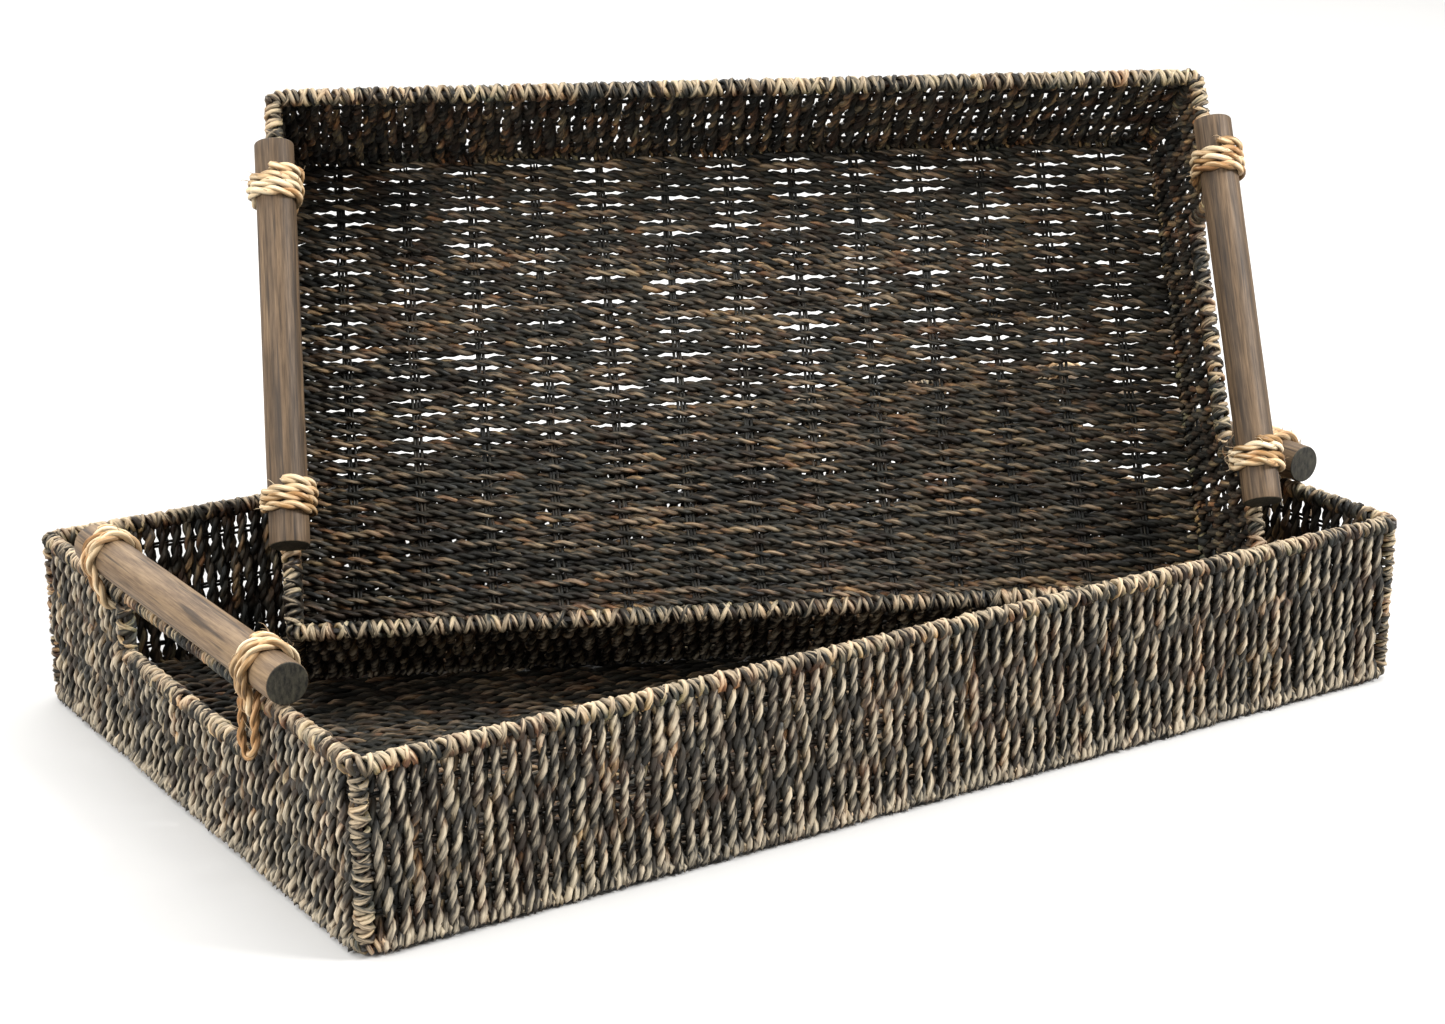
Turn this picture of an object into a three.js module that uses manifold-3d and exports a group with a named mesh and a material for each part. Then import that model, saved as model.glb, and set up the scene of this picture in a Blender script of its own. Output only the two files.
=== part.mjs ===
// A set of two nesting seagrass trays with dowel handles.
//
// Each tray is a welded wire frame with two-ply seagrass cord woven over it: a base, two side walls
// and two end walls, bound to the wires along every edge. A round wooden dowel lies on each end rim
// and is lashed to it with rope. The large tray lies flat. The small tray stands in it on one long
// edge, turned a little and leaning back on the large tray's back rim.
//
// Millimetres, +Z up. The origin is on the underside of the large tray's base, at its middle.
// +X is along the large tray's length and +Y is towards its back wall.

import * as THREE from 'three';
import { mergeVertices } from 'three/addons/utils/BufferGeometryUtils.js';
import Module from 'manifold-3d';

const wasm = await Module();
wasm.setup();

// ---- Driving dimensions ----

// Outer length, width and height of each tray, and half the width of its hand slots.
// handleShift is how far the handles and slots sit off the middle of the end walls.
const LARGE = { prefix: 'large', length: 610, width: 370, height: 92, slotHalf: 69.5, handleShift: 0 };
const SMALL = { prefix: 'small', length: 508, width: 296, height: 98, slotHalf: 61.5, handleShift: 4 };

// Where the small tray stands: the middle of its lower back edge, its turn and its lean.
const SMALL_FOOT = { x: 32.0, y: 9.4 };
const SMALL_TURN = THREE.MathUtils.degToRad(-24.8);
const SMALL_LEAN = THREE.MathUtils.degToRad(32.6);

const GAP = 0.3;                 // clearance kept between pieces that touch
const SIDE_WIRE_RADIUS = 1.6;    // frame wires along the long sides
const END_WIRE_RADIUS = 1.45;    // frame wires along the ends and under the hand slots
const UPRIGHT_RADIUS = 1.3;      // frame wires at the corners and beside the hand slots
const BINDING_RADIUS = 5.5;      // cord bound round the rim wires and the corner posts
const EDGE_RADIUS = 5;           // cord bound round the bottom wires
const RAIL_RADIUS = 3.5;         // thin cord round the rim wire across the hand slot
const WALL_THICKNESS = 7;        // woven wall, over the two faces of its cords
const BASE_THICKNESS = 8;        // woven base
const SLOT_DROP = 37;            // from the top of the rim down to the wire under the hand slot
const DOWEL_RADIUS = 10;
const DOWEL_CHAMFER = 0.8;
const DOWEL_OVERHANG = 15;       // dowel past the outer side of its lashing
const ROPE_DIAMETER = 5.5;
const LASHING_WIDTH = 18;        // three turns of rope side by side

const ROUND_SIDES = 8;           // sides of a bound edge
const WIRE_SIDES = 6;
const DOWEL_SIDES = 32;
const LASHING_SIDES = 20;        // steps round the loop of a lashing
const LASHING_UPPER_SHARE = 0.6; // of those steps, the part on the dowel

// ---- Materials ----

const material = {
  wall: { color: 0x3a332c, roughness: 0.85, metalness: 0 },
  base: { color: 0x2c2722, roughness: 0.85, metalness: 0 },
  binding: { color: 0x8a7257, roughness: 0.8, metalness: 0 },
  wire: { color: 0x5c5d5e, roughness: 0.45, metalness: 1 },
  dowel: { color: 0x7d6a58, roughness: 0.65, metalness: 0 },
  rope: { color: 0xcfae7c, roughness: 0.8, metalness: 0 },
};

function namedMesh(name, geometry, finish) {
  const mesh = new THREE.Mesh(geometry, new THREE.MeshStandardMaterial(material[finish]));
  mesh.name = name;
  return mesh;
}

// ---- Joining and cutting ----

const WELD_DISTANCE = 1e-4;
const STEPS_PER_MM = 1000;

const rounded = (value) => Math.round(value * STEPS_PER_MM) / STEPS_PER_MM;

// Coordinates are rounded to a thousandth of a millimetre, so flush faces meet exactly.
function toSolid(geometry) {
  const bare = geometry.clone();
  bare.deleteAttribute('normal');
  bare.deleteAttribute('uv');
  const merged = mergeVertices(bare, WELD_DISTANCE);
  return new wasm.Manifold(new wasm.Mesh({
    numProp: 3,
    vertProperties: Float32Array.from(merged.attributes.position.array, rounded),
    triVerts: new Uint32Array(merged.index.array),
  }));
}

function toGeometry(solid) {
  const mesh = solid.getMesh();
  const geometry = new THREE.BufferGeometry();
  geometry.setAttribute('position', new THREE.BufferAttribute(mesh.vertProperties, 3));
  geometry.setIndex(new THREE.BufferAttribute(mesh.triVerts, 1));
  geometry.computeVertexNormals();
  return geometry;
}

// A prism of `sides` flat sides between two points, as wide across its flats as 2 * radius.
function bar(from, to, radius, sides) {
  const start = new THREE.Vector3(...from);
  const along = new THREE.Vector3(...to).sub(start);
  const corner = radius / Math.cos(Math.PI / sides);
  const geometry = new THREE.CylinderGeometry(corner, corner, along.length(), sides);
  geometry.rotateY(Math.PI / sides);
  geometry.translate(0, along.length() / 2, 0);
  const turn = new THREE.Quaternion().setFromUnitVectors(new THREE.Vector3(0, 1, 0), along.normalize());
  geometry.applyQuaternion(turn);
  geometry.translate(start.x, start.y, start.z);
  return toSolid(geometry);
}

function joined(solids) {
  return solids.reduce((whole, piece) => whole.add(piece));
}

// ---- The wire frame ----

// The lines that the frame's wires follow, worked out once for each tray.
function frameLines(tray) {
  const side = tray.length / 2 - BINDING_RADIUS;
  const end = tray.width / 2 - BINDING_RADIUS;
  const slotSide = tray.slotHalf + BINDING_RADIUS;
  return {
    x: side,
    y: end,
    top: tray.height - BINDING_RADIUS,
    bottom: EDGE_RADIUS,
    slotLow: tray.height - SLOT_DROP,
    slotFront: tray.handleShift - slotSide,
    slotBack: tray.handleShift + slotSide,
  };
}

// Every wire as a bar, grown by `growth` all round. Grown, they are the channels in the bindings.
// Side wires run past the corners. End wires, slot wires and uprights are thinner and end in them.
function wires(line, growth) {
  const side = SIDE_WIRE_RADIUS + growth;
  const end = END_WIRE_RADIUS + growth;
  const upright = UPRIGHT_RADIUS + growth;
  const past = SIDE_WIRE_RADIUS + growth;
  const rods = [];
  const rod = (radius, from, to) => rods.push(bar(from, to, radius, WIRE_SIDES));
  for (const z of [line.bottom, line.top]) {
    for (const y of [-line.y, line.y]) rod(side, [-line.x - past, y, z], [line.x + past, y, z]);
    for (const x of [-line.x, line.x]) rod(end, [x, -line.y, z], [x, line.y, z]);
  }
  for (const x of [-line.x, line.x]) {
    for (const y of [-line.y, line.y]) rod(upright, [x, y, line.bottom], [x, y, line.top]);
    for (const y of [line.slotFront, line.slotBack]) rod(upright, [x, y, line.slotLow], [x, y, line.top]);
    rod(end, [x, line.slotFront - past, line.slotLow], [x, line.slotBack + past, line.slotLow]);
  }
  return joined(rods);
}

// ---- Woven panels ----

function baseWeave(line) {
  const length = 2 * (line.x - EDGE_RADIUS - GAP);
  const width = 2 * (line.y - EDGE_RADIUS - GAP);
  const geometry = new THREE.BoxGeometry(length, width, BASE_THICKNESS);
  geometry.translate(0, 0, BASE_THICKNESS / 2);
  return geometry;
}

function sideWallWeave(tray, line, y) {
  const foot = 2 * EDGE_RADIUS + GAP;
  const head = tray.height - 2 * BINDING_RADIUS - GAP;
  const length = 2 * (line.x - BINDING_RADIUS - GAP);
  const geometry = new THREE.BoxGeometry(length, WALL_THICKNESS, head - foot);
  geometry.translate(0, y, (head + foot) / 2);
  return geometry;
}

// An end wall is notched for the hand slot, and beside the slot for the rope that passes through it.
function endWallWeave(tray, line, x) {
  const foot = 2 * EDGE_RADIUS + GAP;
  const head = tray.height - 2 * BINDING_RADIUS - GAP;
  const slotFloor = line.slotLow - BINDING_RADIUS - GAP;
  const ropeFloor = head - ROPE_DIAMETER - GAP;
  const corner = line.y - BINDING_RADIUS - GAP;
  const ropeWidth = LASHING_WIDTH + 2 * GAP;
  const outline = new THREE.Shape();
  outline.moveTo(-corner, foot);
  outline.lineTo(corner, foot);
  outline.lineTo(corner, head);
  outline.lineTo(line.slotBack + BINDING_RADIUS + GAP + ropeWidth, head);
  outline.lineTo(line.slotBack + BINDING_RADIUS + GAP + ropeWidth, ropeFloor);
  outline.lineTo(line.slotBack + BINDING_RADIUS + GAP, ropeFloor);
  outline.lineTo(line.slotBack + BINDING_RADIUS + GAP, slotFloor);
  outline.lineTo(line.slotFront - BINDING_RADIUS - GAP, slotFloor);
  outline.lineTo(line.slotFront - BINDING_RADIUS - GAP, ropeFloor);
  outline.lineTo(line.slotFront - BINDING_RADIUS - GAP - ropeWidth, ropeFloor);
  outline.lineTo(line.slotFront - BINDING_RADIUS - GAP - ropeWidth, head);
  outline.lineTo(-corner, head);
  outline.closePath();
  const geometry = new THREE.ExtrudeGeometry(outline, { depth: WALL_THICKNESS, bevelEnabled: false });
  // The outline's own x and y become the tray's y and z.
  geometry.translate(0, 0, -WALL_THICKNESS / 2);
  geometry.rotateX(Math.PI / 2);
  geometry.rotateZ(Math.PI / 2);
  geometry.translate(x, 0, 0);
  return geometry;
}

// ---- Cord bound round the wires ----

function sideRimBinding(tray, line, y) {
  const reach = tray.length / 2;
  return bar([-reach, y, line.top], [reach, y, line.top], BINDING_RADIUS, ROUND_SIDES);
}

function bottomSideBinding(tray, line, y) {
  const reach = tray.length / 2;
  return bar([-reach, y, line.bottom], [reach, y, line.bottom], EDGE_RADIUS, ROUND_SIDES);
}

function bottomEndBinding(line, x) {
  const reach = line.y - EDGE_RADIUS - GAP;
  return bar([x, -reach, line.bottom], [x, reach, line.bottom], EDGE_RADIUS, ROUND_SIDES);
}

function cornerBinding(tray, line, x, y) {
  const foot = 2 * EDGE_RADIUS + GAP;
  const head = tray.height - 2 * BINDING_RADIUS - GAP;
  return bar([x, y, foot], [x, y, head], BINDING_RADIUS, ROUND_SIDES);
}

// The end rim runs in from each corner, down the sides of the hand slot and along below it.
function endRimBinding(line, x) {
  const corner = line.y - BINDING_RADIUS - GAP;
  const bend = BINDING_RADIUS;
  const piece = (from, to) => bar([x, ...from], [x, ...to], BINDING_RADIUS, ROUND_SIDES);
  return joined([
    piece([-corner, line.top], [line.slotFront + bend, line.top]),
    piece([line.slotFront, line.slotLow], [line.slotFront, line.top]),
    piece([line.slotFront - bend, line.slotLow], [line.slotBack + bend, line.slotLow]),
    piece([line.slotBack, line.slotLow], [line.slotBack, line.top]),
    piece([line.slotBack - bend, line.top], [corner, line.top]),
  ]);
}

function handleRailBinding(line, x) {
  const front = line.slotFront + BINDING_RADIUS + GAP;
  const back = line.slotBack - BINDING_RADIUS - GAP;
  return bar([x, front, line.top], [x, back, line.top], RAIL_RADIUS, ROUND_SIDES);
}

// ---- Handles ----

// A dowel rests on the end rim and reaches past both of its lashings.
function dowel(tray, x) {
  const half = tray.slotHalf + 2 * BINDING_RADIUS + 2 * GAP + LASHING_WIDTH + DOWEL_OVERHANG;
  const profile = [
    new THREE.Vector2(0, -half),
    new THREE.Vector2(DOWEL_RADIUS - DOWEL_CHAMFER, -half),
    new THREE.Vector2(DOWEL_RADIUS, -half + DOWEL_CHAMFER),
    new THREE.Vector2(DOWEL_RADIUS, half - DOWEL_CHAMFER),
    new THREE.Vector2(DOWEL_RADIUS - DOWEL_CHAMFER, half),
    new THREE.Vector2(0, half),
  ];
  const geometry = new THREE.LatheGeometry(profile, DOWEL_SIDES);
  geometry.translate(x, tray.handleShift, tray.height + GAP + DOWEL_RADIUS);
  return geometry;
}

// A pear-shaped loop round two circles on one upright line, as points of its outline.
function pearOutline(upper, lower) {
  const lean = Math.asin((upper.radius - lower.radius) / (upper.z - lower.z));
  const points = [];
  const arc = (circle, from, to, steps) => {
    for (let step = 0; step <= steps; step += 1) {
      const angle = from + (to - from) * step / steps;
      const sideways = circle.radius * Math.cos(angle);
      const upwards = circle.radius * Math.sin(angle);
      points.push(new THREE.Vector2(sideways, circle.z + upwards));
    }
  };
  const upperSteps = LASHING_SIDES * LASHING_UPPER_SHARE;
  arc(upper, -lean, Math.PI + lean, upperSteps);
  arc(lower, Math.PI + lean, 2 * Math.PI - lean, LASHING_SIDES - upperSteps);
  return points;
}

// A lashing is several turns of rope round the dowel and the end rim, made here as one band.
function lashing(tray, line, x, middle) {
  const inner = pearOutline(
    { z: tray.height + GAP + DOWEL_RADIUS, radius: DOWEL_RADIUS + GAP },
    { z: line.top, radius: BINDING_RADIUS / Math.cos(Math.PI / ROUND_SIDES) + GAP },
  );
  const outer = pearOutline(
    { z: tray.height + GAP + DOWEL_RADIUS, radius: DOWEL_RADIUS + GAP + ROPE_DIAMETER },
    { z: line.top, radius: BINDING_RADIUS + ROPE_DIAMETER },
  );
  const outline = new THREE.Shape(outer);
  outline.holes.push(new THREE.Path(inner));
  const geometry = new THREE.ExtrudeGeometry(outline, { depth: LASHING_WIDTH, bevelEnabled: false });
  geometry.translate(0, 0, -LASHING_WIDTH / 2);
  geometry.rotateX(Math.PI / 2);
  geometry.translate(x, middle, 0);
  return geometry;
}

// ---- A whole tray, lying flat with the middle of its underside at the origin ----

function buildTray(tray) {
  const line = frameLines(tray);
  const frame = wires(line, 0);
  const channels = wires(line, GAP);
  const group = new THREE.Group();
  const add = (name, geometry, finish) => group.add(namedMesh(`${tray.prefix}_${name}`, geometry, finish));
  const addBound = (name, solid) => add(name, toGeometry(solid.subtract(channels)), 'binding');

  add('wire_frame', toGeometry(frame), 'wire');
  add('base_weave', baseWeave(line), 'base');
  for (const [place, y] of [['front', -line.y], ['back', line.y]]) {
    add(`${place}_wall_weave`, sideWallWeave(tray, line, y), 'wall');
    addBound(`${place}_rim_binding`, sideRimBinding(tray, line, y));
    addBound(`${place}_bottom_binding`, bottomSideBinding(tray, line, y));
  }
  for (const [place, x] of [['left', -line.x], ['right', line.x]]) {
    add(`${place}_end_weave`, endWallWeave(tray, line, x), 'wall');
    addBound(`${place}_rim_binding`, endRimBinding(line, x));
    addBound(`${place}_bottom_binding`, bottomEndBinding(line, x));
    addBound(`${place}_handle_rail`, handleRailBinding(line, x));
    addBound(`front_${place}_corner_binding`, cornerBinding(tray, line, x, -line.y));
    addBound(`back_${place}_corner_binding`, cornerBinding(tray, line, x, line.y));
    add(`${place}_handle_dowel`, dowel(tray, x), 'dowel');
    const reach = BINDING_RADIUS + GAP + GAP + LASHING_WIDTH / 2;
    add(`${place}_front_lashing`, lashing(tray, line, x, line.slotFront - reach), 'rope');
    add(`${place}_back_lashing`, lashing(tray, line, x, line.slotBack + reach), 'rope');
  }
  return group;
}

// ---- The set ----

// The small tray's own width points up and back, and its open side faces the front.
function standSmallTray(group) {
  const across = new THREE.Vector3(0, Math.sin(SMALL_LEAN), Math.cos(SMALL_LEAN));
  const open = new THREE.Vector3(0, -Math.cos(SMALL_LEAN), Math.sin(SMALL_LEAN));
  const upright = new THREE.Matrix4().makeBasis(new THREE.Vector3(1, 0, 0), across, open);
  const turn = new THREE.Matrix4().makeRotationZ(SMALL_TURN).multiply(upright);
  group.setRotationFromMatrix(turn);
  // Its lower back edge is round, so its corner may lie this far below the round part.
  const roundedOff = EDGE_RADIUS * (Math.cos(SMALL_LEAN) + Math.sin(SMALL_LEAN) - 1);
  const foot = BASE_THICKNESS + 2 * GAP - roundedOff;
  const middle = new THREE.Vector3(0, SMALL.width / 2, 0).applyQuaternion(group.quaternion);
  group.position.set(SMALL_FOOT.x, SMALL_FOOT.y, foot).add(middle);
  return group;
}

const trays = new THREE.Group();
trays.add(buildTray(LARGE));
trays.add(standSmallTray(buildTray(SMALL)));

export default trays;
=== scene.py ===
"""Two nesting serving trays of seagrass cord over a wire frame, with lashed wooden dowel handles.

The large tray lies flat. The small one stands in it on one long edge and leans back.
"""

import math
import bmesh
import bpy
import numpy as np
from mathutils import Matrix, Vector, noise
from types import SimpleNamespace


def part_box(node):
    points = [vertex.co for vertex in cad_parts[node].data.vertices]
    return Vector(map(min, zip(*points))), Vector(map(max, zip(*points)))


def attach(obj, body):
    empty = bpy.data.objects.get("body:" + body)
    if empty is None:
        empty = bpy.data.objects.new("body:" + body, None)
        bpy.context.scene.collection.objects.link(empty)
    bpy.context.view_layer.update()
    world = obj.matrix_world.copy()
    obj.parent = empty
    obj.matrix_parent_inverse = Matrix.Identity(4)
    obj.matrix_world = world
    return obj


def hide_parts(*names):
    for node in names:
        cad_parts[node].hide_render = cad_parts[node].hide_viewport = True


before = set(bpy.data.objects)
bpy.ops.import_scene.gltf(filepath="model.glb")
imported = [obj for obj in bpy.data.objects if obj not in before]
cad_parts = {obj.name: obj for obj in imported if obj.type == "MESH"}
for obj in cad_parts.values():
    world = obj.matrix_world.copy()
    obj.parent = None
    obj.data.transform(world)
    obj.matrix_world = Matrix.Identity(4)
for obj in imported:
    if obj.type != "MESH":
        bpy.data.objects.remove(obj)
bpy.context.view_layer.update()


# ---- Camera ----
# A long lens on a stand about a metre and a half away, to the left of the trays' front
# and a little above them, looking slightly down.

camera_data = bpy.data.cameras.new("camera")
camera_data.sensor_width = 36.0
camera_data.lens = 68.72
camera = bpy.data.objects.new("camera", camera_data)
camera.location = (-0.7474, -1.1405, 0.5314)
looks_at = Vector((0.0161, 0.0281, 0.0867))
camera.rotation_euler = (looks_at - camera.location).to_track_quat("-Z", "Y").to_euler()
bpy.context.scene.collection.objects.link(camera)
bpy.context.scene.camera = camera


# ---- Floor and studio light ----
# A wide sheet of matt pale grey paper, lit up to white, lies under the trays in a dim white
# room. A very large soft box hangs overhead and behind, a small bright one stands in front on
# the right, and a weak one on the left.

def srgb(code):
    """A hex colour as linear red, green, blue and full alpha."""
    parts = [int(code[place:place + 2], 16) / 255 for place in (1, 3, 5)]
    return (*[c / 12.92 if c <= 0.04045 else ((c + 0.055) / 1.055) ** 2.4 for c in parts], 1.0)


def add_node(tree, kind, links=(), **settings):
    """Adds a shader node, sets its settings or sockets, and links (socket, output) pairs into it."""
    node = tree.nodes.new(kind)
    for key, value in settings.items():
        if hasattr(node, key):
            setattr(node, key, value)
        else:
            node.inputs[key.replace("_", " ")].default_value = value
    for socket, output in links:
        tree.links.new(output, node.inputs[socket])
    return node


def set_colours(ramp, tones):
    """Gives a colour ramp its (position, hex colour) stops."""
    stops = ramp.color_ramp.elements
    while len(stops) < len(tones):
        stops.new(0.5)
    for stop, (position, code) in zip(stops, tones):
        stop.position = position
        stop.color = srgb(code)


def new_material(name):
    """An empty material with its surface shader, as (material, node tree, shader)."""
    material = bpy.data.materials.new(name)
    material.use_nodes = True
    tree = material.node_tree
    tree.nodes.clear()
    shader = add_node(tree, "ShaderNodeBsdfPrincipled")
    add_node(tree, "ShaderNodeOutputMaterial", [("Surface", shader.outputs["BSDF"])])
    return material, tree, shader


def pale_paper():
    """Matt seamless paper, with a very slight mottle so that it isn't one flat value."""
    material, tree, shader = new_material("pale_grey_paper")
    place = add_node(tree, "ShaderNodeTexCoord")
    mottle = add_node(tree, "ShaderNodeTexNoise", [("Vector", place.outputs["Object"])], Scale=3.0)
    tint = add_node(tree, "ShaderNodeMix", [("Factor", mottle.outputs["Fac"])], data_type="RGBA")
    tint.inputs["A"].default_value = srgb("#b9b8b6")
    tint.inputs["B"].default_value = srgb("#bebdbb")
    tree.links.new(tint.outputs["Result"], shader.inputs["Base Color"])
    shader.inputs["Roughness"].default_value = 0.9
    shader.inputs["Specular IOR Level"].default_value = 0.2
    return material


FLOOR_SIZE = 30.0
floor_shape = bmesh.new()
bmesh.ops.create_grid(floor_shape, x_segments=4, y_segments=4, size=FLOOR_SIZE / 2)
floor_mesh = bpy.data.meshes.new("floor")
floor_shape.to_mesh(floor_mesh)
floor_shape.free()
floor = bpy.data.objects.new("floor", floor_mesh)
floor.data.materials.append(pale_paper())
bpy.context.scene.collection.objects.link(floor)

ROOM_LIGHT = 0.3
world = bpy.data.worlds.new("white_room")
world.use_nodes = True
world.node_tree.nodes["Background"].inputs["Color"].default_value = (1.0, 1.0, 1.0, 1.0)
world.node_tree.nodes["Background"].inputs["Strength"].default_value = ROOM_LIGHT
bpy.context.scene.world = world


def soft_box(name, place, width, watts):
    """A square soft box that points at the middle of the trays."""
    lamp = bpy.data.lights.new(name, "AREA")
    lamp.shape = "SQUARE"
    lamp.size = width
    lamp.energy = watts
    stand = bpy.data.objects.new(name, lamp)
    stand.location = place
    stand.rotation_euler = (looks_at - Vector(place)).to_track_quat("-Z", "Y").to_euler()
    bpy.context.scene.collection.objects.link(stand)


soft_box("overhead_box", (0.0, 1.9, 3.4), 7.5, 540.0)
soft_box("key_box", (1.3, -1.3, 1.5), 0.8, 84.0)
soft_box("side_box", (-1.7, -0.5, 1.0), 0.9, 34.0)
bpy.context.scene.view_settings.view_transform = "Standard"


# ---- Where the two trays sit ----
# Both trays are one design in two sizes. A tray is drawn lying flat, in millimetres, with the
# middle of its underside at zero, x along it and its front towards -y. Its seat then puts it
# in its place: the large tray level, the small one turned, stood on its long edge and leaned.

MM = 0.001
EDGE_LINE = 5.5            # the frame wire lies this far inside the tray's outer faces
LOW_WIRE = 5.0             # and its lowest ring this far above the underside
SLOT_DROP = 37.0           # from the top of the rim down to the wire under the hand slot
BASE_THICKNESS = 8.0


def seat_of(base_node, x_axis, up_axis):
    """Turns a tray's own millimetres into metres in the frame, from where its base lies."""
    low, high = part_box(base_node)
    turn = Matrix((x_axis, up_axis.cross(x_axis), up_axis)).transposed()
    origin = (low + high) / 2 - up_axis * (BASE_THICKNESS / 2 * MM)
    return np.array(turn), np.array(origin)


def tray_size(prefix, length, width, height, slot_half, handle_shift, seat):
    """A tray's sizes, and the lines that its hidden frame wires follow.

    slot_half is half the hand slot's length, and handle_shift is how far the slots and handles
    sit from the middle of the ends.
    """
    return SimpleNamespace(
        prefix=prefix, body=f"{prefix}_tray", height=height, turn=seat[0], origin=seat[1],
        slot_half=slot_half, shift=handle_shift, x=length / 2 - EDGE_LINE, y=width / 2 - EDGE_LINE,
        top=height - EDGE_LINE, low=LOW_WIRE,
        slot_low=height - SLOT_DROP, slot_line=slot_half + EDGE_LINE,
    )


SMALL_TURN = math.radians(-24.8)
SMALL_LEAN = math.radians(32.6)
small_turned = Matrix.Rotation(SMALL_TURN, 3, "Z")
small_x = small_turned @ Vector((1, 0, 0))
small_open_side = small_turned @ Vector((0, -math.cos(SMALL_LEAN), math.sin(SMALL_LEAN)))
level = seat_of("large_base_weave", Vector((1, 0, 0)), Vector((0, 0, 1)))
leaning = seat_of("small_base_weave", small_x, small_open_side)
large = tray_size("large", 610.0, 370.0, 92.0, 69.5, 0.0, level)
small = tray_size("small", 508.0, 296.0, 98.0, 61.5, 4.0, leaning)


# ---- Woven bases ----
# Seagrass leaves are twisted into strands and two strands into a cord, dyed black-brown. The
# base is plain weave: cords run the tray's length, over and under bundles of three thin cords
# that cross it every 36 mm. Light shows beside the bundles, where the cords draw thin.

def unit(rows):
    """Each row of an array, brought to length one."""
    return rows / np.maximum(np.linalg.norm(rows, axis=-1, keepdims=True), 1e-12)


def run_along(path):
    """How far along a path each of its points lies."""
    steps = np.linalg.norm(np.diff(path, axis=0), axis=1)
    return np.concatenate(([0.0], np.cumsum(steps)))


def drift(run, knot, amount, luck):
    """A smooth random wander along a cord, with a fresh value every knot millimetres."""
    place = (run - run.min()) / knot + luck.random()
    values = luck.normal(0.0, amount, int(place.max()) + 3)
    left = place.astype(int)
    blend = (1 - np.cos((place - left) * math.pi)) / 2
    return values[left] * (1 - blend) + values[left + 1] * blend


PLY_REACH = 0.7            # from a cord's centre to a ply's, as a share of the ply's radius
PLY_VARIES = 0.07          # how much plies differ in thickness
LEAF_CHANGE = 0.15         # the share of a leaf's length in which the next one takes over


def twist(centre, facing, radius, lay, luck, swell=1.0):
    """Lays the two plies of a right-hand twisted cord round its centre line.

    lay is the millimetres of cord in one full turn. Gives each ply's path, its radius at each
    point, and how far out it points on the facing side.
    """
    along = unit(np.gradient(centre, axis=0))
    face = unit(facing - along * np.sum(facing * along, axis=1, keepdims=True))
    side = np.cross(along, face)
    angle = luck.random() * 2 * math.pi + 2 * math.pi * run_along(centre) / lay
    made = []
    for ply in range(2):
        fatness = radius * swell * luck.normal(1.0, PLY_VARIES)
        turned = angle + math.pi * ply
        reach = fatness * PLY_REACH
        out = np.cos(turned)
        offset = (out * reach)[:, None] * face + (np.sin(turned) * reach)[:, None] * side
        made.append((centre + offset, np.broadcast_to(fatness, len(centre)).copy(), out))
    return made


def strand(path, radius, wear_and_highlight, facing, luck, leaf=45.0, tone_from=0.0, tone_to=1.0):
    """One twisted strand: its path, thickness, wear with painted highlight, and its tone, which changes
    leaf by leaf.

    facing is the direction in which it is seen and touched; leaf is the millimetres of strand
    that one leaf gives before the next takes over.
    """
    run = run_along(path)
    place = run / (leaf * luck.uniform(0.8, 1.2)) + luck.random()
    tones = luck.uniform(tone_from, tone_to, int(place[-1]) + 2)
    left = place.astype(int)
    blend = np.clip((place - left - (1 - LEAF_CHANGE)) / LEAF_CHANGE, 0.0, 1.0)
    tone = tones[left] * (1 - blend) + tones[left + 1] * blend
    facing = np.broadcast_to(facing, path.shape)
    return SimpleNamespace(path=path, radius=radius, wear_and_highlight=wear_and_highlight, facing=facing, tone=tone,
                           own=luck.random(), run=run)


def ring_of(sides):
    """The round section that strands are drawn with."""
    curve = bpy.data.curves.new("strand_section", "CURVE")
    curve.dimensions = "2D"
    loop = curve.splines.new("POLY")
    loop.points.add(sides - 1)
    for number, point in enumerate(loop.points):
        angle = -2 * math.pi * number / sides
        point.co = (math.cos(angle), math.sin(angle), 0.0, 1.0)
    loop.use_cyclic_u = True
    return bpy.data.objects.new("strand_section", curve)


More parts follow.
